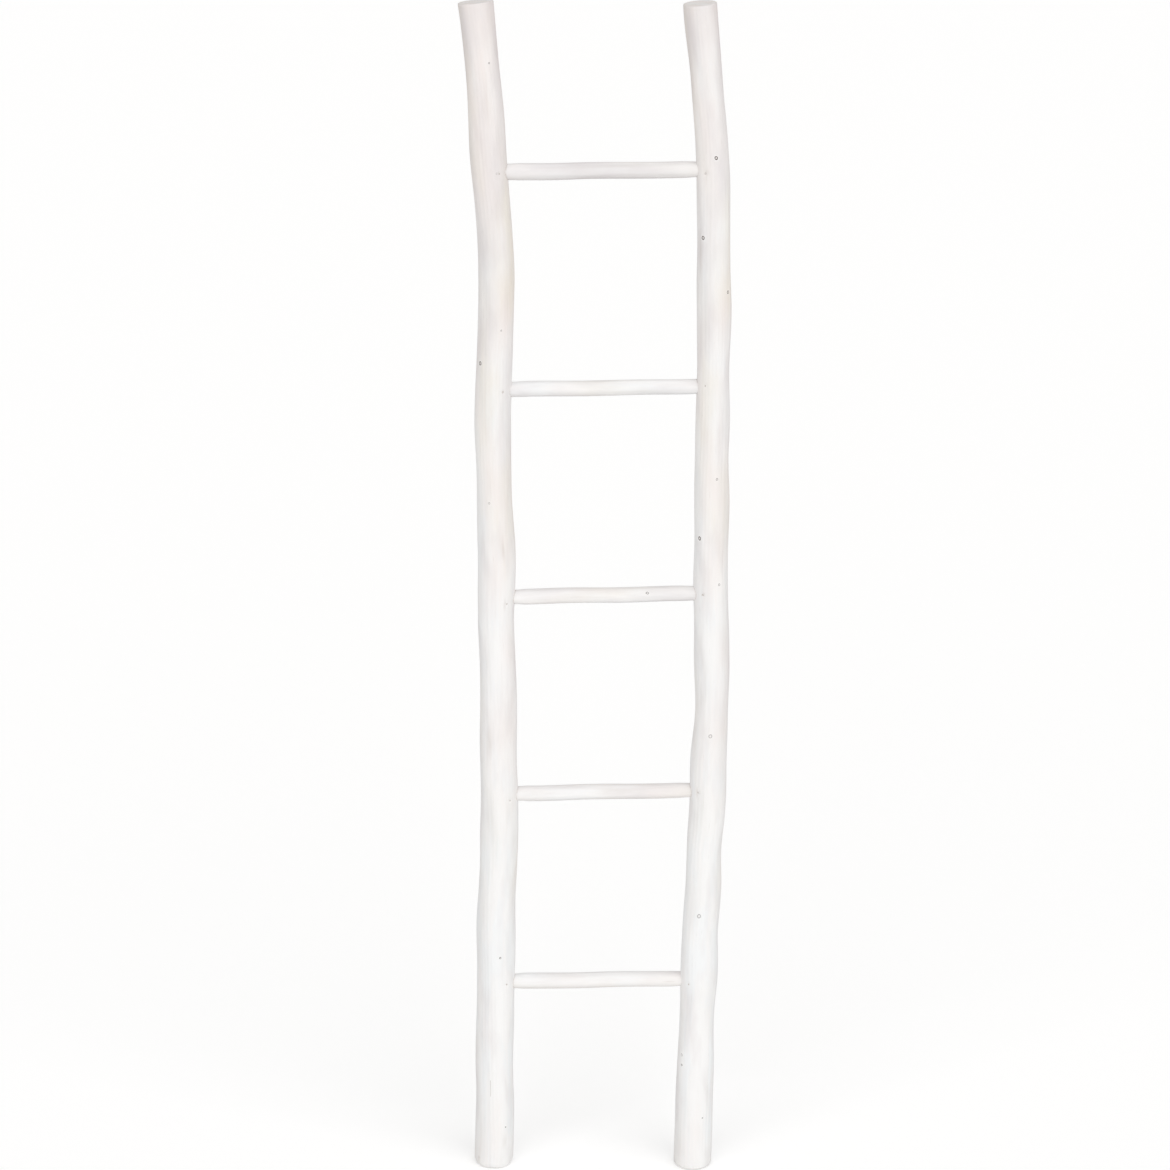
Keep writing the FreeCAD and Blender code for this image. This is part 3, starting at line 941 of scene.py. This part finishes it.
def sawn_wood(t, grain, strokes):
    """End grain: growth rings are the sine of the distance from the heart, made to wander by
    noise, and pores are the peaks of fine noise. Some strokes of paint lie over them."""
    spread = t.add("SeparateXYZ", {0: grain})
    flat = t.add("CombineXYZ", {0: spread.outputs[0], 1: spread.outputs[1]}).outputs[0]
    heartwards = t.add("VectorMath", {0: flat}, operation="LENGTH").outputs["Value"]
    wander = t.stretched_noise(flat, 1.0, 90.0, 2.0, 0.5)
    rings = t.work("SINE", t.sum_of((heartwards, 3600.0), (wander, 7.0)))
    rings = t.ranged(rings, -0.4, 1.0, 0.0, 0.5)
    pores = t.ranged(t.stretched_noise(flat, 1.0, 1400.0, 2.0, 0.6), 0.55, 0.75, 0.0, 0.5)
    sawn = t.mix(pores, t.mix(rings, EARLY_WOOD, LATE_WOOD), PORES)
    return t.mix(t.ranged(strokes, 0.35, 0.65, 0.45, 0.85), sawn, PAINT), rings


print("layers: brushed, handled, knotted and sawn wood")

# %% The finish of rails and rungs


def whitewash(name, bareness):
    """Paint over wood. bareness is how much of the wood shows on the whole."""
    t = Tree(name)
    grain = t.field("grain", "Vector")
    noise = {key: t.stretched_noise(grain, *numbers) for key, numbers in NOISES.items()}
    fibres, strands, strokes = noise["fibres"], noise["strands"], noise["strokes"]
    colour = handled(t, noise, brushed(t, noise, bareness))
    colour = knotted(t, grain, colour)
    crack = t.ranged(t.field("crack"), 0.45, 0.85, 0.0, 0.75)
    colour = t.mix(crack, colour, CRACK_BROWN)
    sawn, rings = sawn_wood(t, grain, strokes)
    colour = t.mix(t.field("end_grain"), colour, sawn)
    # wear at the rails' ends, and painted shade on the rungs near each rail, grey the colour
    worn_and_shaded = t.sum_of((t.field("wear"), 0.55), (strokes, 0.9))
    colour = t.mix(t.ranged(worn_and_shaded, 0.62, 1.05, 0.0, 0.20), colour, GREY_WOOD)
    height = t.sum_of(
        (fibres, 0.30), (strands, 0.55), (strokes, 0.70), (rings, 0.10), (crack, -0.8),
    )
    normal = t.add("Bump", {"Strength": 0.55, "Distance": 0.0004, "Height": height}).outputs[0]
    roughness = t.ranged(t.sum_of(strokes, (fibres, 0.4)), 0.5, 0.95, 0.56, 0.80, False)
    inputs = {"Base Color": colour, "Roughness": roughness, "Normal": normal}
    shader = t.add("BsdfPrincipled", {**inputs, "Specular IOR Level": 0.3})
    t.add("OutputMaterial", {0: shader.outputs[0]})
    return t.material


rail_finish = whitewash("whitewashed_rail", 0.15)
rung_finish = whitewash("whitewashed_rung", 0.10)
print("rail finish has", len(rail_finish.node_tree.nodes), "nodes")

# %% [markdown]
# ## Brads
#
# Small steel brads were driven from the front and washed over with the rest. Their nodes are
# right as they are: round heads just below the surface. They only need thin paint on
# steel, with a little rust where the head's rim was struck.

# %% Painted steel
BRAD_PAINT = (0.70, 0.67, 0.64)
STEEL = (0.33, 0.32, 0.31)
RUST = (0.30, 0.17, 0.10)


def painted_steel():
    """Off-white paint, rubbed through to grey steel in fine specks, with rusty blots."""
    t = Tree("painted_brad")
    place = t.add("TexCoord").outputs["Object"]
    blots = t.add("TexNoise", {"Vector": place, "Scale": 900.0, "Detail": 3.0}).outputs["Fac"]
    specks = t.add("TexNoise", {"Vector": place, "Scale": 2600.0, "Detail": 2.0}).outputs["Fac"]
    colour = t.mix(t.ranged(specks, 0.50, 0.66, 0.0, 0.7), BRAD_PAINT, STEEL)
    colour = t.mix(t.ranged(blots, 0.52, 0.68, 0.0, 0.8), colour, RUST)
    normal = t.add("Bump", {"Strength": 0.4, "Distance": 0.0001, "Height": specks}).outputs[0]
    roughness = t.ranged(specks, 0.4, 0.7, 0.62, 0.40)
    inputs = {"Base Color": colour, "Roughness": roughness, "Normal": normal}
    shader = t.add("BsdfPrincipled", inputs)
    t.add("OutputMaterial", {0: shader.outputs[0]})
    return t.material


brad_finish = painted_steel()
print("brad finish has", len(brad_finish.node_tree.nodes), "nodes")

# %% Put the pieces on the frame


def finish_piece(piece, node, finish):
    """The piece takes the finish and rides on the root body, and its node is hidden."""
    piece.data.materials.append(finish)
    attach(piece, "root")
    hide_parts(node)


for name, piece in rails.items():
    finish_piece(piece, name, rail_finish)
for name, piece in rungs.items():
    finish_piece(piece, name, rung_finish)
for name in BRADS.values():
    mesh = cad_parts[name].data
    mesh.materials.clear()
    mesh.materials.append(brad_finish)
print("pieces on the frame:", len(rails) + len(rungs) + len(BRADS))

# %% [markdown]
# ## Floor, light and camera
#
# The photograph has a plain white ground and very soft light: the branches are hardly darker at
# their edges than in the middle. That is a bright room of even light, plus two broad lamps in
# front, the one on the right a little stronger than the one on the left, and a faint one behind.
# Wide sun lamps are used instead of panels, because they light the floor evenly as far as the
# camera sees it. The floor looks white to the camera, yet takes the ladder's shadow.

# %% Floor
FLOOR_HALF = 60.0        # metres from the middle to an edge
FLOOR_GLOW = 0.25
FLOOR_GREYS = (0.80, 0.80, 0.79), (0.83, 0.83, 0.82)


def floor_finish():
    """A pale matt floor. To the camera it is whiter, by colour and a little glow of its own."""
    t = Tree("pale_floor")
    seen = t.add("LightPath").outputs["Is Camera Ray"]
    place = t.add("TexCoord").outputs["Object"]
    mottle = t.add("TexNoise", {"Vector": place, "Scale": 3.0}).outputs["Fac"]
    plain = t.add("BsdfDiffuse", {"Color": t.mix(mottle, *FLOOR_GREYS)}).outputs[0]
    white = t.add("BsdfDiffuse", {"Color": (0.90, 0.90, 0.90, 1.0)}).outputs[0]
    glow = t.add("Emission", {"Color": (1.0, 1.0, 1.0, 1.0), "Strength": FLOOR_GLOW}).outputs[0]
    bright = t.add("AddShader", {0: white, 1: glow}).outputs[0]
    shader = t.add("MixShader", {0: seen, 1: plain, 2: bright}).outputs[0]
    t.add("OutputMaterial", {0: shader})
    return t.material


half = FLOOR_HALF
floor_corners = [(-half, -half, 0), (half, -half, 0), (half, half, 0), (-half, half, 0)]
floor_mesh = bpy.data.meshes.new("floor")
floor_mesh.from_pydata(floor_corners, [], [(0, 1, 2, 3)])
floor_mesh.materials.append(floor_finish())
floor = bpy.data.objects.new("floor", floor_mesh)
bpy.context.scene.collection.objects.link(floor)
print("floor", 2 * FLOOR_HALF, "m wide")

# %% Light
ROOM_LIGHT = 0.52
ROOM_COLOUR = (1.0, 0.995, 0.985, 1.0)
# azimuth and elevation in degrees, strength, width in degrees
LAMPS = {
    "broad_lamp_right": (38, 20, 1.20, 60),
    "broad_lamp_left": (-30, 20, 0.92, 50),
    "faint_lamp_behind": (180, 35, 0.40, 90),
}


def sun(name, azimuth, elevation, strength, width):
    """A lamp at infinity. Azimuth 0 is in front of the ladder, and 90 to its right; width is the
    angle that the lamp takes up in the sky."""
    lamp = bpy.data.lights.new(name, "SUN")
    lamp.energy = strength
    lamp.angle = np.radians(width)
    holder = bpy.data.objects.new(name, lamp)
    holder.rotation_euler = (np.radians(90 - elevation), 0, np.radians(azimuth))
    bpy.context.scene.collection.objects.link(holder)


def bright_room():
    """Even light on everything, and plain white where the camera looks past the floor."""
    world = bpy.data.worlds.new("bright_room")
    world.use_nodes = True
    links, nodes = world.node_tree.links, world.node_tree.nodes
    nodes.clear()
    path = nodes.new("ShaderNodeLightPath")
    both = nodes.new("ShaderNodeMixShader")
    output = nodes.new("ShaderNodeOutputWorld")
    links.new(path.outputs["Is Camera Ray"], both.inputs[0])
    for slot, colour, strength in ((1, ROOM_COLOUR, ROOM_LIGHT), (2, (1.0, 1.0, 1.0, 1.0), 1.0)):
        ground = nodes.new("ShaderNodeBackground")
        ground.inputs["Color"].default_value = colour
        ground.inputs["Strength"].default_value = strength
        links.new(ground.outputs[0], both.inputs[slot])
    links.new(both.outputs[0], output.inputs[0])
    return world


bpy.context.scene.world = bright_room()
for name, numbers in LAMPS.items():
    sun(name, *numbers)
print("room light", ROOM_LIGHT, "and lamps", list(LAMPS))

# %% Camera
CAMERA_PLACE = (-0.0184, -3.920, 2.362)
CAMERA_PITCH = 69.78     # degrees from looking straight down
LENS = 92.31             # mm, on a sensor of 36 mm

camera_data = bpy.data.cameras.new("camera")
camera_data.sensor_width = 36.0
camera_data.lens = LENS
camera_data.clip_end = 200.0
camera = bpy.data.objects.new("camera", camera_data)
camera.location = CAMERA_PLACE
camera.rotation_euler = (np.radians(CAMERA_PITCH), 0.0, 0.0)
bpy.context.scene.collection.objects.link(camera)
bpy.context.scene.camera = camera
bpy.context.scene.view_settings.view_transform = "Standard"
print("camera at", tuple(round(v, 3) for v in camera.location))
